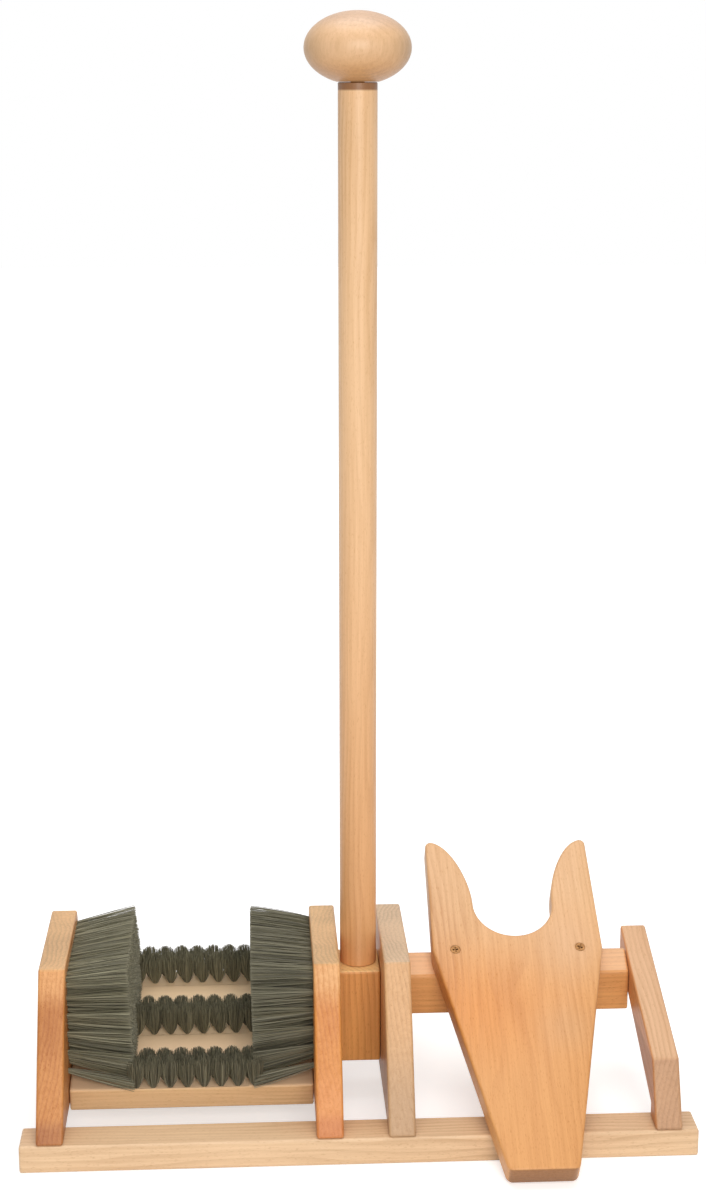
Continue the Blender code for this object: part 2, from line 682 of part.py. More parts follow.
def build_frame():
    """Rails, boards and arm, with the holes of what fastens them."""
    left = board("left_side_board", tall_outline(), LEFT_X, wood("left_side_board"))
    middle_left = board("middle_left_board", tall_outline(), BRUSH_RIGHT_X, wood("middle_left_board"))
    pale = wood("middle_right_board", BEECH_PALE)
    middle_right = board("middle_right_board", tall_outline(), POLE_BAY_RIGHT_X, pale)
    arm = board("right_arm", arm_outline(), JACK_BAY_RIGHT_X, wood("right_arm"))
    rail_left = LEFT_X - RAIL_OVERHANG
    front = rail("front_rail", rail_left, RIGHT_X + RAIL_OVERHANG, 0, wood("front_rail", BEECH_PALE))
    rear = rail("rear_rail", rail_left, JACK_BAY_LEFT_X, REAR_RAIL_DEPTH, wood("rear_rail", BEECH_PALE))

    foot_faces = (LEFT_X, BRUSH_RIGHT_X, POLE_BAY_RIGHT_X, JACK_BAY_RIGHT_X)
    feet = [face + BOARD_THICKNESS / 2 for face in foot_faces]
    front_places = rail_screw_places(RAIL_SCREW_INSET, feet)
    rear_places = rail_screw_places(BOARD_DEPTH - REAR_SCREW_INSET, feet[:-1])
    rail_screw = screw_profile(RAIL_SCREW_LENGTH)
    copies("front_rail_screw", front_places, rail_screw, steel("front_rail_screw"))
    copies("rear_rail_screw", rear_places, rail_screw, steel("rear_rail_screw"))
    foot_holes = screw_holes("rail_screw_cutter", front_places + rear_places, RAIL_SCREW_LENGTH)
    for piece in (front, rear, left, middle_left, middle_right, arm):
        cut(piece, foot_holes)
    return left, middle_left, middle_right, arm


def build_brushes(left, middle_left):
    """The bottom brush on its plank and the two side brushes in their boards."""
    plank = brush_plank(wood("brush_plank", BEECH_DARK))
    for band in range(len(BAND_NAMES)):
        bottom_brush(band)
    side_brush("left_bristles", BRUSH_LEFT_X, 1)
    side_brush("right_bristles", BRUSH_RIGHT_X, -1)
    cut(left, side_pocket("left_pocket_cutter", BRUSH_LEFT_X, 1))
    cut(middle_left, side_pocket("right_pocket_cutter", BRUSH_RIGHT_X, -1))

    places = plank_screw_places()
    copies("brush_plank_screw", places, screw_profile(PLANK_SCREW_LENGTH), steel("brush_plank_screw"))
    holes = screw_holes("plank_screw_cutter", places, PLANK_SCREW_LENGTH)
    for piece in (plank, left, middle_left):
        cut(piece, holes)


def build_handle(middle_left, middle_right):
    """The block between the middle boards, the pole, its knob and the hidden dowels."""
    block = pole_block(wood("pole_block", BEECH_DARK))
    handle_pole(wood("handle_pole", BEECH_PALE))
    handle_knob(wood("handle_knob", BEECH_PALE))
    start = Vector((POLE_X, y_at(MIDDLE_DEPTH), POLE_TOP_Z - KNOB_DOWEL_LENGTH / 2))
    bm = bmesh.new()
    turned(bm, dowel_profile(KNOB_DOWEL_RADIUS, KNOB_DOWEL_LENGTH), Matrix.Identity(4), ROUND_STEPS)
    pin = object_from("knob_dowel", bm, wood("knob_dowel"))
    pin.location = start
    smooth(pin)
    places = block_dowel_places()
    copies("pole_block_dowel", places, dowel_profile(DOWEL_RADIUS, DOWEL_LENGTH), wood("pole_block_dowel"))
    holes = dowel_holes("block_dowel_cutter", places, DOWEL_RADIUS, DOWEL_LENGTH)
    for piece in (block, middle_left, middle_right):
        cut(piece, holes)


def build_jack(middle_right, arm):
    """The boot jack on its crossbar."""
    bar = crossbar(wood("crossbar", BEECH_DARK))
    jack = boot_jack(wood("boot_jack"))
    places = jack_screw_places()
    copies("jack_screw", places, screw_profile(JACK_SCREW_LENGTH), steel("jack_screw"))
    holes = screw_holes("jack_screw_cutter", places, JACK_SCREW_LENGTH)
    for piece in (jack, bar):
        cut(piece, holes)
    ends = crossbar_dowel_places()
    copies("crossbar_dowel", ends, dowel_profile(DOWEL_RADIUS, DOWEL_LENGTH), wood("crossbar_dowel"))
    bores = dowel_holes("crossbar_dowel_cutter", ends, DOWEL_RADIUS, DOWEL_LENGTH)
    for piece in (bar, middle_right, arm):
        cut(piece, bores)


def main():
    clear_scene()
    left, middle_left, middle_right, arm = build_frame()
    build_brushes(left, middle_left)
    build_handle(middle_left, middle_right)
    build_jack(middle_right, arm)


main()
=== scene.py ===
"""Boot scraper: oiled beech, dense tufts of dark bristle, a turned handle and countersunk screws.

Metres, +Z up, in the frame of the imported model. Depths are measured back from the front rail's
front face, heights up from the floor.
"""
import math

import bmesh
import bpy
from mathutils import Matrix, Vector
from mathutils.geometry import interpolate_bezier


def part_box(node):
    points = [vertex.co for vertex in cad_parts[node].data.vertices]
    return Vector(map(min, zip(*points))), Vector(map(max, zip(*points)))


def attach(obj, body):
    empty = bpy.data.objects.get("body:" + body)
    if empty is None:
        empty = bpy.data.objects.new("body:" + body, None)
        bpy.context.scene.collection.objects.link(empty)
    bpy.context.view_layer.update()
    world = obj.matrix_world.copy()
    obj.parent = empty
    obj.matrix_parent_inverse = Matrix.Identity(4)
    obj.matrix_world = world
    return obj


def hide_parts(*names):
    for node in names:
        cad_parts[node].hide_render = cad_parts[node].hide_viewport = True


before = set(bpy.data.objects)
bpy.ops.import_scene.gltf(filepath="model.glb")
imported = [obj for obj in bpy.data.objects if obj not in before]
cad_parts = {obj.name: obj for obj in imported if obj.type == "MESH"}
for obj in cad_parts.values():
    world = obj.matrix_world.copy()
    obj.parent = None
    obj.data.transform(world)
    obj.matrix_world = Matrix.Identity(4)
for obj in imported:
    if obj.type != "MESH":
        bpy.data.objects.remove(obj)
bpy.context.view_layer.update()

# Camera, fitted to the photograph
CAMERA_PLACE = (-0.0750, -1.3678, 0.7641)
CAMERA_PITCH = math.radians(13.936)
CAMERA_YAW = math.radians(2.921)
CAMERA_ROLL = math.radians(-0.05)
CAMERA_LENS_MM = 61.15
CAMERA_SENSOR_MM = 36.0

# Handle
GAP = 0.0003
POLE_CHAMFER = 0.0006
POLE_STEPS = 72
KNOB_STEPS = 96
KNOB_RINGS = 48
KNOB_SEAT_RADIUS = 0.015
KNOB_SEAT_ROUND = 0.0008

# Boot jack
JACK_TILT = math.radians(31.0)
JACK_THICKNESS = 0.019
JACK_LENGTH = 0.2985
JACK_WIDTH = 0.1335
JACK_END_WIDTH = 0.053
JACK_SHOULDER = 0.191
JACK_END_CORNER = 0.003
JACK_EDGE_ROUND = 0.0022
JACK_FLOOR_CLEARANCE = 0.0008
NOTCH_BOTTOM = 0.2045
NOTCH_RADIUS = 0.0315
HORN_TIP_RADIUS = 0.0045
HORN_TIP_TURN = math.radians(105.0)
HORN_LEAN = 0.0012
FLARE_LOW_HANDLE = 0.022
FLARE_HIGH_HANDLE = 0.016
JACK_ARC_STEPS = 28
JACK_ROUND_STEPS = 4

# Boards
BOARD_TOP_DEPTH = 0.114

# Bottom brush
PLANK_RISE = math.radians(11.3)
PLANK_LENGTH = 0.150
TUFT_PITCH = 0.0128
BOTTOM_ROW_TUFTS = (8, 7)
BOTTOM_ROW_STEP = 0.0088
BOTTOM_ROW_STARTS = (0.0028, 0.0682, 0.1355)
BOTTOM_ROW_SHIFTS = (0.0030, 0.0014, -0.0004)
BACK_ROW_SHIFT = 0.0022
BOTTOM_BRISTLE_LENGTH = 0.0280
SLICE_TUFTS = 6
SLICE_MARGIN = 0.004
SLICE_THICKNESS = 0.003
SLICE_FRONT = 0.0015
SLICE_STEP = 0.0645
SLICE_DEPTH = 0.018

# Side brushes
SIDE_ROWS = 11
SIDE_COLUMNS = 13
SIDE_TOP_MARGIN = 0.006
SIDE_EDGE_MARGIN = 0.0035
SIDE_PLANK_CLEARANCE = 0.003
SIDE_ROOT_LOW = 0.0120
SIDE_TIP_DROP = 0.0095
SIDE_TIP_SPREAD = 0.006
SIDE_LIFT_BEND = 1.5
LEFT_BRUSH = {"length": 0.0463, "low_gain": 0.0035, "lift": 0.0065, "seed": 11}
RIGHT_BRUSH = {"length": 0.0472, "low_gain": -0.0015, "lift": 0.0042, "seed": 12}

# Tufts, and the slices of wood that hold them
TUFT_ROOT = 0.0004
SEAM = 0.0006
PROUD = 0.00003
PLANK_TUFTS = {"Bristles": 180, "Hole Radius": 0.0019, "Flare": 3.6, "Opening": 3.0, "Dome": 0.18,
               "Bristle Radius": 0.00022, "Ragged": 0.0008, "Sway": 0.0022}
BOARD_TUFTS = {"Bristles": 50, "Hole Radius": 0.0019, "Flare": 2.85, "Opening": 1.4, "Dome": 0.01,
               "Bristle Radius": 0.00026, "Ragged": 0.0005, "Sway": 0.0020}

# Screws
SCREW_RADIUS = 0.002
SCREW_HEAD_RADIUS = 0.004
SCREW_HEAD_DEPTH = 0.0026
SCREW_LENGTH = 0.026
SCREW_POINT = 0.006
SCREW_STEPS = 32
HEAD_ROUND = 0.0002
HEAD_SINK = 0.0002
HEAD_CLEARANCE = 0.0001
RECESS_DEPTH = 0.0016
RECESS_EDGE = 0.0004
RECESS_FLOOR = 0.0009
RECESS_ARM = 0.0022
RECESS_WIDTH = 0.0013
CUT_OVERRUN = 0.001

# Smooth shading breaks at edges sharper than these
SHARP_ANGLE = math.radians(40.0)
JACK_SHARP_ANGLE = math.radians(30.0)
SCREW_SHARP_ANGLE = math.radians(35.0)

# Beech
FLECK_SCALE = (300.0, 1700.0, 1700.0)
STREAK_SCALE = (14.0, 520.0, 520.0)
BLOTCH_SCALE = (5.0, 22.0, 22.0)
WANDER_SCALE = (5.0, 24.0, 24.0)
WANDER_REACH = 0.016
PORE_DEPTH = 0.0002
END_GRAIN = (0.70, 0.43, 0.25)
END_GRAIN_DEPTH = 0.62
# Pale colour that upward faces are blended towards: painted light from above.
PAINTED_TOP_LIGHT_COLOUR = (0.86, 0.60, 0.39, 1.0)
JACK_FIBRE = (0, math.cos(JACK_TILT), math.sin(JACK_TILT))
ARM_FIBRE = (0, 0.95, 0.31)

# Bristle fibre, as dark, pale and cut colours, and each brush's painted light level: its colour scaled down
# as painted shade or up as painted light
FIBRE_COLOURS = ((0.095, 0.088, 0.056), (0.300, 0.280, 0.180), (0.23, 0.215, 0.150))
BRISTLE_PAINTED_LIGHT_LEVELS = {"bottom_bristles_front": 0.80, "bottom_bristles_middle": 1.02,
                  "bottom_bristles_rear": 1.13, "left_bristles": 1.12, "right_bristles": 0.87}

# Steel
STEEL_PALE = (0.34, 0.175, 0.07, 1.0)
STEEL_DARK = (0.20, 0.10, 0.04, 1.0)
SMUDGE_SCALE = 900.0

# Stage and lamps
FLOOR_HALF_SIDE = 8.0
FLOOR_WHITE = (0.86, 0.86, 0.86, 1.0)
SKY_LEVEL = 0.45
FLOOR_GLOW = 0.50
FAR_GLOW = 0.72
GLOW_RANGE = (0.5, 1.6)
KEY_PLACE = (0.15, -1.98, 1.15)
KEY_AIM = (0.0, 0.1, 0.15)
KEY_SIZE = 1.2
KEY_POWER = 26.5
KEY_COLOUR = (1.0, 0.975, 0.945)
OVERHEAD_PLACE = (0.0, 0.25, 2.2)
OVERHEAD_AIM = (0.0, 0.1, 0.0)
OVERHEAD_SIZE = 1.4
OVERHEAD_POWER = 19.5
OVERHEAD_COLOUR = (1.0, 1.0, 1.0)


# Node helpers

def add(tree, kind, values=None, **settings):
    """A new node; values maps an input's name or number to a socket or to a plain value."""
    made = tree.nodes.new(kind)
    for key, value in settings.items():
        setattr(made, key, value)
    for key, value in (values or {}).items():
        if isinstance(value, bpy.types.NodeSocket):
            tree.links.new(value, made.inputs[key])
        else:
            made.inputs[key].default_value = value
    return made


def blend_colours(tree, share, first, second, how="MIX"):
    """The colour between two colours."""
    made = add(tree, "ShaderNodeMix", {0: share, 6: first, 7: second}, data_type="RGBA", blend_type=how)
    return made.outputs[2]


def sum_of(tree, how, first, second=None, third=None):
    """One step of arithmetic on values."""
    values = {number: value for number, value in enumerate((first, second, third)) if value is not None}
    return add(tree, "ShaderNodeMath", values, operation=how).outputs[0]


def vector_of(tree, how, first, second=None):
    """One step of arithmetic on vectors."""
    values = {number: value for number, value in enumerate((first, second)) if value is not None}
    made = add(tree, "ShaderNodeVectorMath", values, operation=how)
    return made.outputs["Value" if how in ("LENGTH", "DOT_PRODUCT", "DISTANCE") else "Vector"]


def ramp(tree, value, low, high, to_low=0.0, to_high=1.0):
    """A value eased from one range to another."""
    made = add(tree, "ShaderNodeMapRange", {0: value, 1: low, 2: high, 3: to_low, 4: to_high})
    made.interpolation_type = "SMOOTHSTEP"
    return made.outputs[0]


def new_tree(name, kind, inputs, outputs):
    """A group with named sockets: rows of (name, socket kind, default value)."""
    tree = bpy.data.node_groups.new(name, kind)
    for socket_name, socket_kind, value in inputs:
        made = tree.interface.new_socket(socket_name, in_out="INPUT", socket_type=socket_kind)
        if value is not None:
            made.default_value = value
    for socket_name, socket_kind in outputs:
        tree.interface.new_socket(socket_name, in_out="OUTPUT", socket_type=socket_kind)
    return tree, tree.nodes.new("NodeGroupInput").outputs, tree.nodes.new("NodeGroupOutput").inputs


# Shared finishes

def make_grain():
    """Beech as a solid: rings round a far pith, fine streaks, short flecks and broad changes of tone.
    Place has the fibres along X and the pith at Y = Z = 0."""
    tree, given, out = new_tree("beech_grain", "ShaderNodeTree", [
        ("Place", "NodeSocketVector", None),
        ("Light Wood", "NodeSocketColor", (0.8, 0.5, 0.3, 1.0)),
        ("Dark Wood", "NodeSocketColor", (0.5, 0.3, 0.15, 1.0)),
        ("Ring Spacing", "NodeSocketFloat", 0.0035),
        ("Ring Strength", "NodeSocketFloat", 0.4),
        ("Streak Strength", "NodeSocketFloat", 0.3),
        ("Fleck Strength", "NodeSocketFloat", 0.4),
        ("Blotch Strength", "NodeSocketFloat", 0.3),
    ], [("Colour", "NodeSocketColor"), ("Shade", "NodeSocketFloat"), ("Height", "NodeSocketFloat"),
        ("Dullness", "NodeSocketFloat")])
    place = given["Place"]

    def speckle(scale, detail, roughness=0.5):
        scaled = vector_of(tree, "MULTIPLY", place, scale)
        return add(tree, "ShaderNodeTexNoise",
                   {"Vector": scaled, "Scale": 1.0, "Detail": detail, "Roughness": roughness}).outputs[0]

    wander = sum_of(tree, "MULTIPLY_ADD", speckle(WANDER_SCALE, 2.0), WANDER_REACH, -WANDER_REACH / 2)
    radius = vector_of(tree, "LENGTH", vector_of(tree, "MULTIPLY", place, (0.0, 1.0, 1.0)))
    turns = sum_of(tree, "DIVIDE", sum_of(tree, "ADD", radius, wander), given["Ring Spacing"])
    phase = sum_of(tree, "FRACT", turns)
    late = sum_of(tree, "MULTIPLY", ramp(tree, phase, 0.30, 0.92), ramp(tree, phase, 1.0, 0.93))
    fading = ramp(tree, speckle(BLOTCH_SCALE, 1.0), 0.30, 0.70, 0.35, 1.0)
    rings = sum_of(tree, "MULTIPLY", late, fading)
    streaks = ramp(tree, speckle(STREAK_SCALE, 3.0, 0.6), 0.32, 0.72)
    flecks = ramp(tree, speckle(FLECK_SCALE, 1.0), 0.60, 0.72)
    blotches = ramp(tree, speckle(BLOTCH_SCALE, 3.0), 0.30, 0.72)

    dark = sum_of(tree, "MULTIPLY", rings, given["Ring Strength"])
    for mask, strength in ((streaks, "Streak Strength"), (flecks, "Fleck Strength"),
                           (blotches, "Blotch Strength")):
        dark = sum_of(tree, "MULTIPLY_ADD", mask, given[strength], dark)
    dark = add(tree, "ShaderNodeClamp", {0: dark}).outputs[0]
    tree.links.new(blend_colours(tree, dark, given["Light Wood"], given["Dark Wood"]), out["Colour"])
    tree.links.new(dark, out["Shade"])
    pores = sum_of(tree, "MULTIPLY_ADD", flecks, 0.6, sum_of(tree, "MULTIPLY", streaks, 0.4))
    tree.links.new(sum_of(tree, "SUBTRACT", 1.0, pores), out["Height"])
    tree.links.new(ramp(tree, pores, 0.0, 1.0, 0.44, 0.66), out["Dullness"])
    return tree


def make_edges():
    """Finds the rounded edges: a mask for the arris, used for a painted highlight, and the eased normal
    across it.
    """
    tree, given, out = new_tree("eased_edges", "ShaderNodeTree", [
        ("Radius", "NodeSocketFloat", 0.0018),
    ], [("Mask", "NodeSocketFloat"), ("Normal", "NodeSocketVector")])
    eased = add(tree, "ShaderNodeBevel", {"Radius": given["Radius"]}, samples=6).outputs[0]
    facing = vector_of(tree, "DOT_PRODUCT", eased, add(tree, "ShaderNodeNewGeometry").outputs["True Normal"])
    tree.links.new(ramp(tree, facing, 0.995, 0.86), out["Mask"])
    tree.links.new(eased, out["Normal"])
    return tree


GRAIN = make_grain()
EDGES = make_edges()


def new_material(name, roughness):
    """A material with only its Principled shader, and the shader's tree."""
    made = bpy.data.materials.new(name)
    made.use_nodes = True
    shader = made.node_tree.nodes["Principled BSDF"]
    shader.inputs["Roughness"].default_value = roughness
    return made, made.node_tree, shader


def beech(name, light, dark, fibre, pith, rings=0.42, spacing=0.0034, streaks=0.30, blotches=0.34,
          ends=END_GRAIN, tones=(), patches=(), painted_top_light=0.0, turned=False):
    """Oiled beech: fibre is the direction of the fibres, pith a point on the tree's centre line, ends
    the colour of the end grain, and painted_top_light how far the upper faces are painted paler,
    as painted light from above. The wood takes on further colours, by multiplying: each row of
    tones is (axis, start, full, colour), and each of patches is (middle, radius, colour)."""
    made, tree, shader = new_material(name, 0.5)
    across = Vector(fibre).to_track_quat("X", "Z").to_euler()
    own = add(tree, "ShaderNodeTexCoord").outputs
    place = add(tree, "ShaderNodeMapping", {"Vector": own["Object"], "Location": pith,
                                            "Rotation": across}, vector_type="TEXTURE").outputs[0]
    grain = add(tree, "ShaderNodeGroup", node_tree=GRAIN)
    tree.links.new(place, grain.inputs["Place"])
    grain.inputs["Light Wood"].default_value = (*light, 1.0)
    grain.inputs["Dark Wood"].default_value = (*dark, 1.0)
    grain.inputs["Ring Spacing"].default_value = spacing
    grain.inputs["Ring Strength"].default_value = rings
    grain.inputs["Streak Strength"].default_value = streaks
    grain.inputs["Blotch Strength"].default_value = blotches
    spot = add(tree, "ShaderNodeSeparateXYZ", {0: own["Object"]}).outputs
    upward = add(tree, "ShaderNodeSeparateXYZ", {0: own["Normal"]}).outputs[2]
    facing = vector_of(tree, "DOT_PRODUCT", own["Normal"], Vector(fibre).normalized())
    cut = ramp(tree, sum_of(tree, "ABSOLUTE", facing), 0.55, 0.93)
    deep = [part * END_GRAIN_DEPTH for part in ends]
    end_colour = blend_colours(tree, grain.outputs["Shade"], (*ends, 1.0), (*deep, 1.0))
    colour = blend_colours(tree, cut, grain.outputs["Colour"], end_colour)
    # Upward faces blended towards a pale colour: painted light from above.
    colour = blend_colours(tree, ramp(tree, upward, 0.7, 0.95, 0.0, painted_top_light), colour, PAINTED_TOP_LIGHT_COLOUR)
    reached = [(ramp(tree, spot[axis], start, full), tone) for axis, start, full, tone in tones]
    for middle, radius, tone in patches:
        reached.append((ramp(tree, vector_of(tree, "DISTANCE", own["Object"], middle), radius, 0), tone))
    for share, tone in reached:
        colour = blend_colours(tree, share, colour, (*tone, 1.0), "MULTIPLY")
    if not turned:
        edges = add(tree, "ShaderNodeGroup", node_tree=EDGES)
        # Rounded edges blended towards the light wood colour: a painted highlight along the arris.
        painted_edge_highlight = sum_of(tree, "MULTIPLY", edges.outputs["Mask"], 0.30)
        colour = blend_colours(tree, painted_edge_highlight, colour, (*light, 1.0))
    tree.links.new(colour, shader.inputs["Base Color"])
    tree.links.new(grain.outputs["Dullness"], shader.inputs["Roughness"])
    bump = add(tree, "ShaderNodeBump", {"Strength": 0.35, "Distance": PORE_DEPTH,
                                        "Height": grain.outputs["Height"]})
    if not turned:
        tree.links.new(edges.outputs["Normal"], bump.inputs["Normal"])
    tree.links.new(bump.outputs[0], shader.inputs["Normal"])
    shader.inputs["Coat Weight"].default_value = 0.25 if turned else 0.06
    shader.inputs["Coat Roughness"].default_value = 0.35
    return made


def bristle_material(name, painted_light_level):
    """Dark olive fibre: each bristle has its own tone, and the cut tips are a little paler.
    painted_light_level scales the whole brush's colour, as painted shade or painted light on that brush."""
    made, tree, shader = new_material(name, 0.55)
    dark, pale, cut = [(*[part * painted_light_level for part in colour], 1.0) for colour in FIBRE_COLOURS]
    tone = add(tree, "ShaderNodeAttribute", attribute_name="tone").outputs["Fac"]
    along = add(tree, "ShaderNodeAttribute", attribute_name="along").outputs["Fac"]
    colour = blend_colours(tree, tone, dark, pale)
    tip = ramp(tree, along, 0.95, 1.0, 0.0, 0.35)
    colour = blend_colours(tree, tip, colour, cut)
    tree.links.new(colour, shader.inputs["Base Color"])
    tree.links.new(ramp(tree, tone, 0.0, 1.0, 0.62, 0.48), shader.inputs["Roughness"])
    return made


def steel_material():
    """Bronzed steel with faint smudges."""
    made, tree, shader = new_material("screw_steel", 0.35)
    shader.inputs["Metallic"].default_value = 1.0
    own = add(tree, "ShaderNodeTexCoord").outputs["Object"]
    smudge = add(tree, "ShaderNodeTexNoise", {"Vector": own, "Scale": SMUDGE_SCALE, "Detail": 3.0}).outputs[0]
    colour = blend_colours(tree, smudge, STEEL_PALE, STEEL_DARK)
    tree.links.new(colour, shader.inputs["Base Color"])
    tree.links.new(ramp(tree, smudge, 0.3, 0.7, 0.42, 0.6), shader.inputs["Roughness"])
    return made


WOODS = {
    "front_rail": beech("front_rail_beech", (0.84, 0.585, 0.355), (0.61, 0.385, 0.21), (1, 0, 0),
                        (0, 0.10, -0.06)),
    "rear_rail": beech("rear_rail_beech", (0.84, 0.585, 0.355), (0.61, 0.385, 0.21), (1, 0, 0),
                       (0, 0.16, -0.05)),
    "left_side_board": beech("left_board_beech", (0.77, 0.39, 0.143), (0.49, 0.18, 0.045), (0, 0, 1),
                             (-0.45, 0.09, 0), blotches=0.5, ends=(0.80, 0.47, 0.215),
                             tones=[("Z", 0.122, 0.104, (0.69, 0.52, 0.265)),
                                    ("Z", 0.090, 0.062, (1.20, 1.34, 1.80)),
                                    ("Z", 0.040, 0.030, (0.74, 0.66, 0.64))]),
    "middle_left_board": beech("middle_left_beech", (0.81, 0.445, 0.18), (0.57, 0.24, 0.067), (0, 0, 1),
                               (0.21, 0.10, 0), blotches=0.5, ends=(0.80, 0.49, 0.23),
                               tones=[("Z", 0.125, 0.098, (0.86, 0.62, 0.28)),
                                      ("Z", 0.070, 0.045, (1.0, 1.0, 1.40)),
                                      ("Z", 0.040, 0.030, (0.84, 0.72, 0.66))]),
    "middle_right_board": beech("middle_right_beech", (0.70, 0.40, 0.187), (0.50, 0.262, 0.108), (0, 0, 1),
                                (0.25, 0.10, 0), ends=(0.75, 0.52, 0.32),
                                tones=[("Z", 0.10, 0.04, (0.72, 0.76, 0.84))]),
    "right_arm": beech("right_arm_beech", (0.76, 0.465, 0.265), (0.56, 0.31, 0.152), ARM_FIBRE,
                       (0.44, 0, -0.02),
                       # The second tone paints the arm's left side face darker and browner as painted shade;
                       # the first makes the arm darker below 70 mm.
                       tones=[("Z", 0.070, 0.066, (0.74, 0.66, 0.585)),
                              ("X", 0.2192, 0.2180, (1.03, 0.77, 0.50))]),
    "pole_block": beech("pole_block_beech", (0.84, 0.395, 0.108), (0.55, 0.218, 0.048), (0, 0, 1),
                        (-0.05, 0.03, 0), ends=(0.97, 0.60, 0.20), painted_top_light=0.2),
    "crossbar": beech("crossbar_beech", (0.79, 0.385, 0.126), (0.51, 0.21, 0.056), (1, 0, 0),
                      (0, 0.07, 0.02), painted_top_light=0.58),
    "brush_plank": beech("plank_beech", (0.82, 0.54, 0.285), (0.60, 0.355, 0.162), (1, 0, 0),
                         (0, 0.10, -0.12), painted_top_light=0.75,
                         tones=[("Y", 0.06, 0.12, (1.11, 1.18, 1.17))]),
    "boot_jack": beech("jack_beech", (0.755, 0.455, 0.230), (0.545, 0.278, 0.112), JACK_FIBRE,
                       (0.12, 0.0, -0.03), ends=(0.37, 0.20, 0.095),
                       tones=[("Z", 0.150, 0.085, (0.95, 0.76, 0.51))],
                       patches=[((0.092, 0.062, 0.087), 0.080, (1.03, 0.89, 0.64)),
                                ((0.170, 0.100, 0.112), 0.045, (0.98, 1.05, 1.22)),
                                ((0.158, 0.045, 0.075), 0.035, (0.96, 1.04, 1.25))]),
    "handle": beech("handle_beech", (0.81, 0.52, 0.285), (0.63, 0.365, 0.168), (0, 0, 1),
                    (-0.10, 0.20, 0), turned=True,
                    tones=[("Z", 0.62, 0.08, (0.92, 0.74, 0.56)),
                           # The dark band at the pole's top, just under the knob, is a painted shadow of the
                           # knob.
                           ("Z", 0.7660, 0.7678, (0.30, 0.20, 0.10))]),
    "knob": beech("knob_beech", (0.735, 0.465, 0.262), (0.57, 0.335, 0.16), (0.1, 0, 1),
                  (-0.06, 0.16, 0), rings=0.22, turned=True,
                  # These tones are painted shade: the knob darker at its underside, at its top and towards
                  # both sides.
                  tones=[("Z", 0.797, 0.776, (0.84, 0.70, 0.48)),
                         ("Z", 0.803, 0.818, (0.84, 0.84, 0.84)),
                         ("X", 0.024, 0.041, (0.76, 0.75, 0.70)),
                         ("X", -0.016, -0.034, (0.84, 0.82, 0.75))]),
    "dowel": beech("dowel_beech", (0.80, 0.52, 0.29), (0.58, 0.33, 0.16), (1, 0, 0), (0, 0.05, 0.05)),
}
BRISTLES = {name: bristle_material(name + "_fibre", painted_light_level) for name, painted_light_level in BRISTLE_PAINTED_LIGHT_LEVELS.items()}
STEEL = steel_material()


# Mesh helpers

def object_from(name, bm, finish):
    """A named object from a bmesh, at the origin, with its faces pointing out."""
    bmesh.ops.recalc_face_normals(bm, faces=bm.faces)
    mesh = bpy.data.meshes.new(name)
    bm.to_mesh(mesh)
    bm.free()
    mesh.materials.append(finish)
    piece = bpy.data.objects.new(name, mesh)
    bpy.context.scene.collection.objects.link(piece)
    return piece


def prism(bm, outline, along):
    """A closed solid from a flat outline, pushed along a vector."""
    face = bm.faces.new([bm.verts.new(point) for point in outline])
    pushed = bmesh.ops.extrude_face_region(bm, geom=[face])
    ends = [item for item in pushed["geom"] if isinstance(item, bmesh.types.BMVert)]
    bmesh.ops.translate(bm, verts=ends, vec=along)


def turned(bm, profile, place, steps):
    """A solid of revolution about local Z from (radius, height) pairs, axis point to axis point."""
    rings = []
    for radius, height in profile:
        if radius == 0:
            rings.append([bm.verts.new(place @ Vector((0, 0, height)))])
            continue
        angles = [2 * math.pi * step / steps for step in range(steps)]
        rings.append([bm.verts.new(place @ Vector((radius * math.cos(a), radius * math.sin(a), height)))
                      for a in angles])
    for low, high in zip(rings, rings[1:]):
        for step in range(steps):
            after = (step + 1) % steps
            corners = [low[step % len(low)], low[after % len(low)]]
            corners += [high[after % len(high)], high[step % len(high)]]
            bm.faces.new(list(dict.fromkeys(corners)))


def smooth(piece, angle=SHARP_ANGLE):
    """Smooth shading that breaks at edges sharper than the angle."""
    piece.data.shade_smooth()
    piece.data.set_sharp_from_angle(angle=angle)


def settled(piece, finish=None):
    """The piece with its modifiers turned into a plain mesh."""
    evaluated = piece.evaluated_get(bpy.context.evaluated_depsgraph_get())
    mesh = bpy.data.meshes.new_from_object(evaluated)
    name = piece.name
    old = piece.data
    bpy.data.objects.remove(piece)
    if isinstance(old, bpy.types.Mesh):
        bpy.data.meshes.remove(old)
    mesh.name = name
    if finish:
        mesh.materials.clear()
        mesh.materials.append(finish)
    done = bpy.data.objects.new(name, mesh)
    bpy.context.scene.collection.objects.link(done)
    return done


def hand_over(piece, slot, *nodes):
    """The piece rides with the object and stands for these nodes, which are hidden; slot is not used."""
    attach(piece, "root")
    if nodes:
        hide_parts(*nodes)


# Handle

def make_pole():
    """The round pole down to the block, with eased ends."""
    low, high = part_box("handle_pole")
    block_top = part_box("pole_block")[1].z
    radius = (high.x - low.x) / 2
    centre = (low + high) / 2
    bottom = block_top + GAP
    profile = [(0, bottom), (radius - POLE_CHAMFER, bottom), (radius, bottom + POLE_CHAMFER),
               (radius, high.z - POLE_CHAMFER), (radius - POLE_CHAMFER, high.z), (0, high.z)]
    bm = bmesh.new()
    turned(bm, profile, Matrix.Translation((centre.x, centre.y, 0)), POLE_STEPS)
    piece = object_from("turned_pole", bm, WOODS["handle"])
    smooth(piece)
    hand_over(piece, "beech_turned", "handle_pole")


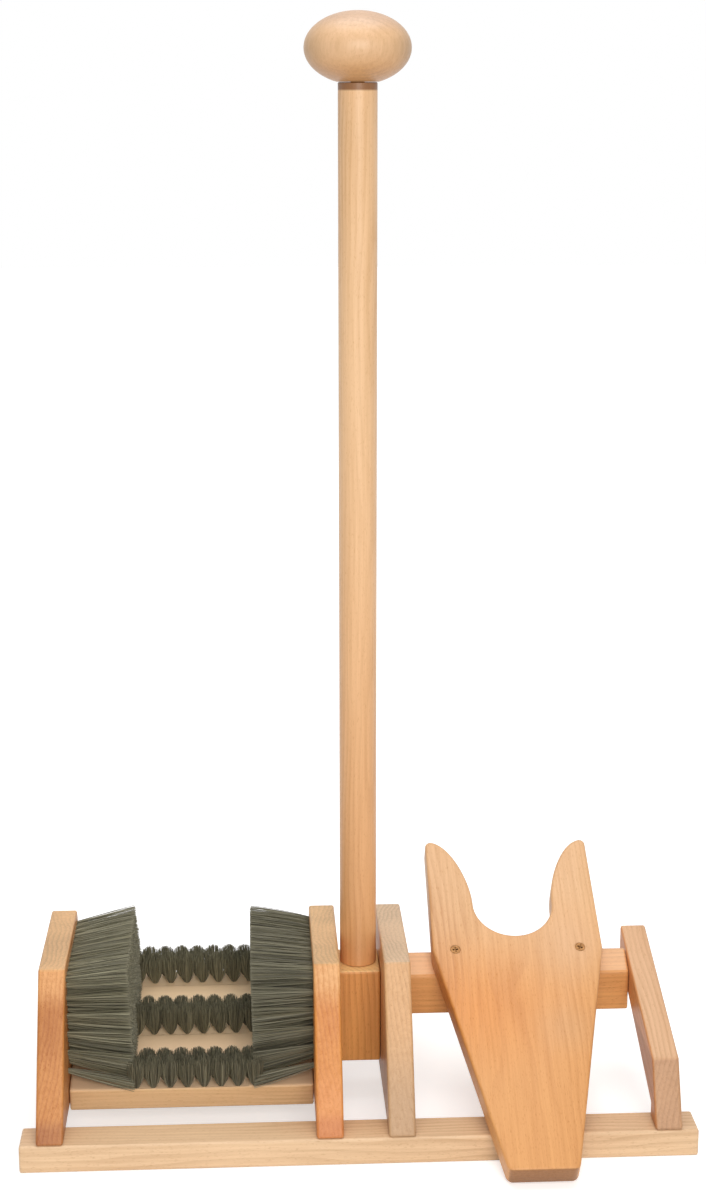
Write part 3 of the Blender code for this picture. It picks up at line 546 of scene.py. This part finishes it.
def make_knob():
    """The flattened ball, turned smooth, with its flat seat on the pole."""
    low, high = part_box("handle_knob")
    centre = (low + high) / 2
    radius = (high.x - low.x) / 2
    sink = math.sqrt(1 - (KNOB_SEAT_RADIUS / radius) ** 2)
    half_height = (high.z - low.z) / (1 + sink)
    middle_z = high.z - half_height
    seat = math.asin(KNOB_SEAT_RADIUS / radius)
    profile = [(0, half_height)]
    for ring in range(1, KNOB_RINGS + 1):
        angle = (math.pi - seat) * ring / KNOB_RINGS
        profile.append((radius * math.sin(angle), half_height * math.cos(angle)))
    edge_radius, edge_z = profile[-1]
    profile += [(edge_radius - KNOB_SEAT_ROUND, edge_z), (0, edge_z)]
    bm = bmesh.new()
    turned(bm, profile, Matrix.Translation((centre.x, centre.y, middle_z)), KNOB_STEPS)
    piece = object_from("turned_knob", bm, WOODS["knob"])
    smooth(piece)
    hand_over(piece, "beech_turned", "handle_knob")


# Boot jack

def jack_frame():
    """The jack's own frame: X across it, Y up its slope from the toe, Z out of its upper face."""
    low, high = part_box("boot_jack")
    rail_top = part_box("front_rail")[1].z
    front_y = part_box("front_rail")[0].y
    toe_depth = -(rail_top + GAP - JACK_FLOOR_CLEARANCE) / math.tan(JACK_TILT)
    toe = Vector(((low.x + high.x) / 2, front_y + toe_depth, JACK_FLOOR_CLEARANCE))
    return Matrix.Translation(toe) @ Matrix.Rotation(JACK_TILT, 4, "X")


def jack_half_outline():
    """The right half of the jack, from the middle of its lower end round to the notch's bottom."""
    half_end = JACK_END_WIDTH / 2
    half = JACK_WIDTH / 2
    tip = Vector((half - HORN_LEAN - HORN_TIP_RADIUS, JACK_LENGTH - HORN_TIP_RADIUS))
    centre = Vector((0, NOTCH_BOTTOM + NOTCH_RADIUS))
    points = [(half_end - JACK_END_CORNER, 0), (half_end, JACK_END_CORNER), (half, JACK_SHOULDER)]
    for step in range(JACK_ARC_STEPS + 1):
        angle = HORN_TIP_TURN * step / JACK_ARC_STEPS
        points.append((tip.x + HORN_TIP_RADIUS * math.cos(angle), tip.y + HORN_TIP_RADIUS * math.sin(angle)))
    inward = Vector((-math.sin(HORN_TIP_TURN), math.cos(HORN_TIP_TURN)))
    flare_top = Vector(points[-1])
    flare_low = centre + Vector((NOTCH_RADIUS, 0))
    flare = interpolate_bezier(flare_top, flare_top + inward * FLARE_HIGH_HANDLE,
                               flare_low + Vector((0, FLARE_LOW_HANDLE)), flare_low, JACK_ARC_STEPS)
    points += [(point.x, point.y) for point in flare[1:]]
    for step in range(1, JACK_ARC_STEPS + 1):
        angle = -math.pi / 2 * step / JACK_ARC_STEPS
        points.append((centre.x + NOTCH_RADIUS * math.cos(angle), centre.y + NOTCH_RADIUS * math.sin(angle)))
    return points


def make_jack():
    """The jack board with smooth curves, rounded edges and the screws' countersinks."""
    right = jack_half_outline()
    left = [(-x, s) for x, s in reversed(right[:-1])]
    bm = bmesh.new()
    prism(bm, [(x, s, 0) for x, s in right + left], (0, 0, JACK_THICKNESS))
    piece = object_from("jack_board", bm, WOODS["boot_jack"])
    piece.data.transform(jack_frame())
    bevel = piece.modifiers.new("rounded_edges", "BEVEL")
    bevel.width = JACK_EDGE_ROUND
    bevel.segments = JACK_ROUND_STEPS
    bevel.limit_method = "ANGLE"
    bevel.angle_limit = JACK_SHARP_ANGLE
    cutter_bm = bmesh.new()
    mouth = SCREW_HEAD_RADIUS + HEAD_CLEARANCE
    bore = SCREW_RADIUS + HEAD_CLEARANCE
    bottom = -SCREW_HEAD_DEPTH - HEAD_CLEARANCE
    profile = [(0, CUT_OVERRUN), (mouth, CUT_OVERRUN), (mouth, 0), (bore, bottom), (0, bottom)]
    for start, drive in screw_places():
        if drive.z < 0:
            turned(cutter_bm, profile, pointing(start, -drive), SCREW_STEPS)
    cutter = object_from("countersinks", cutter_bm, WOODS["boot_jack"])
    hole = piece.modifiers.new("countersinks", "BOOLEAN")
    hole.operation = "DIFFERENCE"
    hole.solver = "EXACT"
    hole.object = cutter
    piece = settled(piece, WOODS["boot_jack"])
    bpy.data.objects.remove(cutter)
    smooth(piece, JACK_SHARP_ANGLE)
    hand_over(piece, "beech_jack", "boot_jack")


# Screws

def pointing(start, direction):
    """A frame at a point whose local Z runs along a direction."""
    return Matrix.Translation(start) @ Vector(direction).to_track_quat("Z", "Y").to_matrix().to_4x4()


def screw_nodes():
    """The names of the screws' nodes."""
    return sorted(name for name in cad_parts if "_screw_" in name)


def screw_places():
    """Each screw's head centre and driving direction, read from its node's box."""
    jack_down = Vector((0, math.sin(JACK_TILT), -math.cos(JACK_TILT)))
    places = []
    for name in screw_nodes():
        low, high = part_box(name)
        middle = (low + high) / 2
        if name.startswith("jack"):
            places.append((jack_head(middle), jack_down))
        elif name.startswith("brush_plank"):
            inward = 1.0 if middle.x < plank_frame().translation.x else -1.0
            face_x = low.x if inward > 0 else high.x
            places.append((Vector((face_x, middle.y, middle.z)), Vector((inward, 0, 0))))
        else:
            places.append((Vector((middle.x, middle.y, low.z)), Vector((0, 0, 1))))
    return places


def jack_head(middle):
    """The head's centre, just under the jack's upper face, of the screw with this middle."""
    own = jack_frame().inverted() @ middle
    return jack_frame() @ Vector((own.x, own.y, JACK_THICKNESS - HEAD_SINK))


def screw_template():
    """A countersunk screw with a cross recess, its head's face at Z = 0 and its shank along +Z."""
    bm = bmesh.new()
    profile = [(0, 0), (SCREW_HEAD_RADIUS - HEAD_ROUND, 0), (SCREW_HEAD_RADIUS, HEAD_ROUND),
               (SCREW_RADIUS, SCREW_HEAD_DEPTH), (SCREW_RADIUS, SCREW_LENGTH - SCREW_POINT),
               (SCREW_RADIUS / 2, SCREW_LENGTH), (0, SCREW_LENGTH)]
    turned(bm, profile, Matrix.Identity(4), SCREW_STEPS)
    piece = object_from("cross_head_screw", bm, STEEL)
    cross = bmesh.new()
    for turn in range(2):
        arm = Matrix.Rotation(turn * math.pi / 2, 4, "Z")
        half = [(RECESS_ARM, -CUT_OVERRUN), (RECESS_ARM, RECESS_EDGE), (RECESS_FLOOR, RECESS_DEPTH)]
        outline = half + [(-x, z) for x, z in reversed(half)]
        points = [arm @ Vector((x, -RECESS_WIDTH / 2, z)) for x, z in outline]
        prism(cross, points, arm @ Vector((0, RECESS_WIDTH, 0)))
    cutter = object_from("cross_recess", cross, STEEL)
    recess = piece.modifiers.new("recess", "BOOLEAN")
    recess.operation = "DIFFERENCE"
    recess.solver = "EXACT"
    recess.use_self = True
    recess.object = cutter
    piece = settled(piece, STEEL)
    bpy.data.objects.remove(cutter)
    smooth(piece, SCREW_SHARP_ANGLE)
    return piece


def points_mesh(name, points, **vectors):
    """A mesh of loose points, each with its own vectors."""
    mesh = bpy.data.meshes.new(name)
    mesh.from_pydata([tuple(point) for point in points], [], [])
    for key, values in vectors.items():
        mesh.attributes.new(key, "FLOAT_VECTOR", "POINT")
        mesh.attributes[key].data.foreach_set("vector", [part for value in values for part in value])
    piece = bpy.data.objects.new(name, mesh)
    bpy.context.scene.collection.objects.link(piece)
    return piece


def grown(piece, tree, finish, sizes):
    """The points turned into a plain mesh by a geometry tree whose sockets take these sizes."""
    modifier = piece.modifiers.new(tree.name, "NODES")
    modifier.node_group = tree
    for item in tree.interface.items_tree:
        if item.item_type == "SOCKET" and item.in_out == "INPUT" and item.name in sizes:
            modifier[item.identifier] = sizes[item.name]
    return settled(piece, finish)


def geometry_tree(name, inputs):
    """A geometry tree with named inputs; its last step is left to the caller."""
    return new_tree(name, "GeometryNodeTree", [("Geometry", "NodeSocketGeometry", None)] + inputs,
                    [("Geometry", "NodeSocketGeometry")])


def aligned(tree, vector):
    """The rotation that turns local Z along a vector."""
    return add(tree, "FunctionNodeAlignRotationToVector", {"Vector": vector}, axis="Z").outputs[0]


def named_vector(tree, name):
    """A vector that the points carry under this name."""
    return add(tree, "GeometryNodeInputNamedAttribute", {"Name": name}, data_type="FLOAT_VECTOR").outputs[0]


def screw_tree():
    """One screw at each point, driven along the point's own direction and turned at random."""
    tree, given, out = geometry_tree("driven_screws", [
        ("Screw", "NodeSocketObject", None), ("Finish", "NodeSocketMaterial", None),
        ("Seed", "NodeSocketInt", 4)])
    shape = add(tree, "GeometryNodeObjectInfo", {"Object": given["Screw"]})
    spin = add(tree, "FunctionNodeRandomValue", {"Seed": given["Seed"]}, data_type="FLOAT")
    spin.inputs[3].default_value = math.pi
    turn = add(tree, "FunctionNodeAxisAngleToRotation", {"Axis": (0, 0, 1), "Angle": spin.outputs[1]})
    facing = add(tree, "FunctionNodeRotateRotation",
                 {0: aligned(tree, named_vector(tree, "drive")), 1: turn.outputs[0]}, rotation_space="LOCAL")
    placed = add(tree, "GeometryNodeInstanceOnPoints",
                 {"Points": given["Geometry"], "Instance": shape.outputs["Geometry"],
                  "Rotation": facing.outputs[0]}).outputs[0]
    real = add(tree, "GeometryNodeRealizeInstances", {0: placed}).outputs[0]
    finished = add(tree, "GeometryNodeSetMaterial", {"Geometry": real, "Material": given["Finish"]})
    tree.links.new(finished.outputs[0], out[0])
    return tree


def make_screws():
    """Every screw, in one piece."""
    template = screw_template()
    places = screw_places()
    starts, drives = zip(*places)
    points = points_mesh("wood_screws", starts, drive=drives)
    piece = grown(points, screw_tree(), STEEL, {"Screw": template, "Finish": STEEL, "Seed": 4})
    bpy.data.objects.remove(template)
    smooth(piece, SCREW_SHARP_ANGLE)
    hand_over(piece, "screw_steel", *screw_nodes())


# Brushes

def tuft_tree():
    """A tuft of bristles at each point: packed round in its hole, bowing out to the trimmed tips."""
    tree, given, out = geometry_tree("bristle_tufts", [
        ("Bristles", "NodeSocketInt", 40), ("Hole Radius", "NodeSocketFloat", 0.0022),
        ("Flare", "NodeSocketFloat", 1.8), ("Opening", "NodeSocketFloat", 2.0),
        ("Bristle Radius", "NodeSocketFloat", 0.0002),
        ("Dome", "NodeSocketFloat", 0.05), ("Ragged", "NodeSocketFloat", 0.0006),
        ("Sway", "NodeSocketFloat", 0.001), ("Trim", "NodeSocketVector", (0, 0, 1)),
        ("Finish", "NodeSocketMaterial", None), ("Seed", "NodeSocketInt", 1)])

    def chance(offset):
        seed = sum_of(tree, "ADD", given["Seed"], float(offset))
        made = add(tree, "FunctionNodeRandomValue", {"Seed": seed}, data_type="FLOAT_VECTOR")
        made.inputs[0].default_value = (-1, -1, -1)
        made.inputs[1].default_value = (1, 1, 1)
        return made.outputs[0]

    def scaled(vector, amount):
        return add(tree, "ShaderNodeVectorMath", {0: vector, "Scale": amount}, operation="SCALE").outputs[0]

    def stored(points, name, value, kind):
        values = {"Geometry": points, "Name": name, "Value": value}
        return add(tree, "GeometryNodeStoreNamedAttribute", values, data_type=kind,
                   domain="POINT").outputs[0]

    def chance_number(offset):
        seed = sum_of(tree, "ADD", given["Seed"], float(offset))
        return add(tree, "FunctionNodeRandomValue", {"Seed": seed}, data_type="FLOAT").outputs[1]

    copies = add(tree, "GeometryNodeDuplicateElements",
                 {"Geometry": given["Geometry"], "Amount": given["Bristles"]}, domain="POINT")
    number = copies.outputs["Duplicate Index"]
    share = sum_of(tree, "DIVIDE", sum_of(tree, "ADD", number, 0.5), given["Bristles"])
    radius = sum_of(tree, "MULTIPLY", sum_of(tree, "SQRT", share), given["Hole Radius"])
    angle = sum_of(tree, "MULTIPLY", number, math.pi * (3 - math.sqrt(5)))
    aside = add(tree, "ShaderNodeCombineXYZ",
                {0: sum_of(tree, "MULTIPLY", radius, sum_of(tree, "COSINE", angle)),
                 1: sum_of(tree, "MULTIPLY", radius, sum_of(tree, "SINE", angle))}).outputs[0]
    aside = add(tree, "FunctionNodeRotateVector",
                {"Vector": aside, "Rotation": aligned(tree, given["Trim"])}).outputs[0]

    shorter = sum_of(tree, "SUBTRACT", 1.0, sum_of(tree, "MULTIPLY", share, given["Dome"]))
    reach = vector_of(tree, "ADD", scaled(named_vector(tree, "reach"), shorter),
                      scaled(chance(0), given["Ragged"]))
    points = add(tree, "GeometryNodeSetPosition",
                 {"Geometry": copies.outputs[0], "Offset": aside}).outputs[0]
    spread = scaled(aside, sum_of(tree, "SUBTRACT", given["Flare"], 1.0))
    points = stored(points, "spread", spread, "FLOAT_VECTOR")
    points = stored(points, "sway", scaled(chance(7), given["Sway"]), "FLOAT_VECTOR")
    points = stored(points, "tone", chance_number(0), "FLOAT")

    strand = add(tree, "GeometryNodeMeshCone", {"Vertices": 3, "Side Segments": 4, "Radius Top": 0.8,
                                                "Radius Bottom": 1.0, "Depth": 1.0}).outputs["Mesh"]
    position = add(tree, "GeometryNodeInputPosition").outputs[0]
    height = add(tree, "ShaderNodeSeparateXYZ", {0: position}).outputs[2]
    strand = stored(strand, "along", height, "FLOAT")
    thick = given["Bristle Radius"]
    length = vector_of(tree, "LENGTH", reach)
    size = add(tree, "ShaderNodeCombineXYZ", {0: thick, 1: thick, 2: length}).outputs[0]
    angle = sum_of(tree, "MULTIPLY", chance_number(3), 2 * math.pi)
    spin = add(tree, "FunctionNodeAxisAngleToRotation", {"Axis": (0, 0, 1), "Angle": angle}).outputs[0]
    turn = add(tree, "FunctionNodeRotateRotation", {0: aligned(tree, reach), 1: spin},
               rotation_space="LOCAL").outputs[0]
    placed = add(tree, "GeometryNodeInstanceOnPoints",
                 {"Points": points, "Instance": strand, "Rotation": turn, "Scale": size}).outputs[0]
    real = add(tree, "GeometryNodeRealizeInstances", {0: placed}).outputs[0]

    along = add(tree, "GeometryNodeInputNamedAttribute", {"Name": "along"}, data_type="FLOAT").outputs[0]
    left = sum_of(tree, "SUBTRACT", 1.0, along)
    opening = sum_of(tree, "SUBTRACT", 1.0, sum_of(tree, "POWER", left, given["Opening"]))
    bow = sum_of(tree, "MULTIPLY", along, left)
    offset = vector_of(tree, "ADD", scaled(named_vector(tree, "spread"), opening),
                       scaled(named_vector(tree, "sway"), bow))
    bent = add(tree, "GeometryNodeSetPosition", {"Geometry": real, "Offset": offset}).outputs[0]
    finished = add(tree, "GeometryNodeSetMaterial", {"Geometry": bent, "Material": given["Finish"]})
    tree.links.new(finished.outputs[0], out[0])
    return tree


TUFTS = tuft_tree()


def plank_frame():
    """The bottom brush's frame: X across, Y back along its rise from the front top edge, Z out of its top."""
    low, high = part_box("brush_plank")
    top_z = high.z - PLANK_LENGTH * math.sin(PLANK_RISE)
    edge = Matrix.Translation(((low.x + high.x) / 2, low.y, top_z))
    return edge @ Matrix.Rotation(PLANK_RISE, 4, "X")


def make_bottom_brush(band, name):
    """One band of the bottom brush and the slice of plank that holds it."""
    place = plank_frame()
    up = place.to_3x3() @ Vector((0, 0, 1))
    half = SLICE_TUFTS * TUFT_PITCH / 2 + SLICE_MARGIN + SEAM
    start = SLICE_FRONT + band * SLICE_STEP - SEAM
    stop = start + SLICE_DEPTH + 2 * SEAM
    bm = bmesh.new()
    corners = [(-half, start), (half, start), (half, stop), (-half, stop)]
    outline = [place @ Vector((x, y, -SLICE_THICKNESS)) for x, y in corners]
    prism(bm, outline, up * (SLICE_THICKNESS + PROUD))
    backing = object_from(name + "_backing", bm, WOODS["brush_plank"])
    hand_over(backing, "beech_inner", name)
    roots = []
    for row, count in enumerate(BOTTOM_ROW_TUFTS):
        for column in range(count):
            x = (column - (count - 1) / 2) * TUFT_PITCH + BOTTOM_ROW_SHIFTS[band] + row * BACK_ROW_SHIFT
            y = BOTTOM_ROW_STARTS[band] + row * BOTTOM_ROW_STEP
            roots.append(place @ Vector((x, y, -TUFT_ROOT)))
    reach = up * (BOTTOM_BRISTLE_LENGTH + TUFT_ROOT)
    points = points_mesh(name + "_tufts", roots, reach=[reach] * len(roots))
    sizes = {**PLANK_TUFTS, "Trim": tuple(up), "Finish": BRISTLES[name], "Seed": band + 1}
    hand_over(grown(points, TUFTS, BRISTLES[name], sizes), "bristle", name)


def side_corners():
    """The slice that holds a side brush, as (y, z) corners: front low, rear low, rear top, front top."""
    board_low, board_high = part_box("left_side_board")
    front_low = plank_frame().translation
    top = board_high.z - SIDE_TOP_MARGIN
    slope = ((board_high.y - board_low.y) - BOARD_TOP_DEPTH) / 2 / (board_high.z - board_low.z)
    front_top = (top - board_low.z) * slope + SIDE_EDGE_MARGIN
    rear_low = front_low.y + PLANK_LENGTH * math.cos(PLANK_RISE) - SIDE_EDGE_MARGIN
    low = front_low.z + SIDE_PLANK_CLEARANCE
    rise = (rear_low - front_low.y) * math.tan(PLANK_RISE)
    return [Vector((front_low.y, low)), Vector((rear_low, low + rise)),
            Vector((board_high.y - front_top, top)), Vector((board_low.y + front_top, top))]


def make_side_brush(name, face_x, inward, finish, length, low_gain, lift, seed):
    """A side brush: its slice of board, and tufts that fan out towards the tips. The lowest tufts are
    longer by low_gain, and the top row's tips rise by lift."""
    corners = side_corners()
    middle = sum(corners, Vector((0, 0))) / len(corners)
    wide = [corner + (corner - middle).normalized() * 2 * SEAM for corner in corners]
    bm = bmesh.new()
    outline = [(face_x + inward * PROUD, y, z) for y, z in wide]
    prism(bm, outline, (-inward * (SLICE_THICKNESS + PROUD), 0, 0))
    backing = object_from(name + "_backing", bm, finish)
    hand_over(backing, "beech_upright", name)
    front_low, rear_low, rear_top, front_top = corners
    roots = []
    reaches = []
    for row in range(SIDE_ROWS):
        up = row / (SIDE_ROWS - 1)
        rise = SIDE_ROOT_LOW + (-SLICE_MARGIN - SIDE_ROOT_LOW) * up
        front = front_low.lerp(front_top, up) + Vector((SLICE_MARGIN, rise))
        rear = rear_low.lerp(rear_top, up) + Vector((-SLICE_MARGIN, rise))
        for column in range(SIDE_COLUMNS - row % 2):
            along = (column + (row % 2) / 2) / (SIDE_COLUMNS - 1)
            root = front.lerp(rear, along)
            roots.append((face_x - inward * TUFT_ROOT, root.x, root.y))
            out = length + TUFT_ROOT + low_gain * (1 - up)
            tip_rise = lift * up ** SIDE_LIFT_BEND - SIDE_TIP_DROP * (1 - up) ** 2
            reaches.append((inward * out, SIDE_TIP_SPREAD * (2 * along - 1), tip_rise))
    points = points_mesh(name + "_tufts", roots, reach=reaches)
    sizes = {**BOARD_TUFTS, "Trim": (inward, 0, 0), "Finish": BRISTLES[name], "Seed": seed}
    hand_over(grown(points, TUFTS, BRISTLES[name], sizes), "bristle", name)


# Stage

def seen_directly(tree):
    """1 for camera and glossy rays, so that white shows there without more light on the object."""
    ray = add(tree, "ShaderNodeLightPath").outputs
    return sum_of(tree, "MAXIMUM", ray["Is Camera Ray"], ray["Is Glossy Ray"])


def make_floor():
    """A white floor that keeps a soft shadow near the object."""
    made, tree, shader = new_material("stage_white", 0.9)
    tree.nodes.remove(shader)
    plain = add(tree, "ShaderNodeBsdfDiffuse", {"Color": FLOOR_WHITE}).outputs[0]
    own = add(tree, "ShaderNodeTexCoord").outputs["Object"]
    level = ramp(tree, vector_of(tree, "LENGTH", own), *GLOW_RANGE, FLOOR_GLOW, FAR_GLOW)
    strength = sum_of(tree, "MULTIPLY", seen_directly(tree), level)
    glow = add(tree, "ShaderNodeEmission", {"Color": (1, 1, 1, 1), "Strength": strength}).outputs[0]
    both = add(tree, "ShaderNodeAddShader", {0: plain, 1: glow}).outputs[0]
    tree.links.new(both, tree.nodes["Material Output"].inputs["Surface"])
    bm = bmesh.new()
    bmesh.ops.create_grid(bm, x_segments=1, y_segments=1, size=FLOOR_HALF_SIDE)
    floor = object_from("white_floor", bm, made)


def make_sky():
    """A world that is white to look at and lights the object more softly."""
    world = bpy.data.worlds.new("studio")
    bpy.context.scene.world = world
    world.use_nodes = True
    tree = world.node_tree
    strength = sum_of(tree, "MULTIPLY_ADD", seen_directly(tree), 1.0 - SKY_LEVEL, SKY_LEVEL)
    tree.links.new(strength, tree.nodes["Background"].inputs["Strength"])
    tree.nodes["Background"].inputs["Color"].default_value = (1.0, 1.0, 1.0, 1.0)


def lamp(name, place, aim, size, power, colour):
    """A square soft lamp that looks at a point."""
    light = bpy.data.lights.new(name, "AREA")
    light.size = size
    light.energy = power
    light.color = colour
    made = bpy.data.objects.new(name, light)
    made.location = place
    made.rotation_mode = "QUATERNION"
    made.rotation_quaternion = (Vector(aim) - Vector(place)).to_track_quat("-Z", "Y")
    bpy.context.scene.collection.objects.link(made)


def make_camera():
    """The camera at the photograph's place and angle."""
    camera = bpy.data.cameras.new("camera")
    camera.sensor_width = CAMERA_SENSOR_MM
    camera.lens = CAMERA_LENS_MM
    made = bpy.data.objects.new("camera", camera)
    level = math.cos(CAMERA_PITCH)
    ahead = Vector((math.sin(CAMERA_YAW) * level, math.cos(CAMERA_YAW) * level, -math.sin(CAMERA_PITCH)))
    turn = ahead.to_track_quat("-Z", "Y").to_matrix().to_4x4() @ Matrix.Rotation(CAMERA_ROLL, 4, "Z")
    made.matrix_world = Matrix.Translation(CAMERA_PLACE) @ turn
    bpy.context.scene.collection.objects.link(made)
    bpy.context.scene.camera = made


def finish_nodes():
    """Gives each kept node its wood."""
    for name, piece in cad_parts.items():
        wood = WOODS.get(name) or WOODS["dowel"]
        piece.data.materials.clear()
        piece.data.materials.append(wood)


def main():
    make_camera()
    make_floor()
    make_sky()
    lamp("front_key", KEY_PLACE, KEY_AIM, KEY_SIZE, KEY_POWER, KEY_COLOUR)
    lamp("overhead", OVERHEAD_PLACE, OVERHEAD_AIM, OVERHEAD_SIZE, OVERHEAD_POWER, OVERHEAD_COLOUR)
    finish_nodes()
    make_pole()
    make_knob()
    make_jack()
    make_screws()
    for band, name in enumerate(("front", "middle", "rear")):
        make_bottom_brush(band, "bottom_bristles_" + name)
    left_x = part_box("left_side_board")[1].x
    right_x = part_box("middle_left_board")[0].x
    make_side_brush("left_bristles", left_x, 1, WOODS["left_side_board"], **LEFT_BRUSH)
    make_side_brush("right_bristles", right_x, -1, WOODS["middle_left_board"], **RIGHT_BRUSH)
    bpy.context.scene.view_settings.view_transform = "Standard"


main()
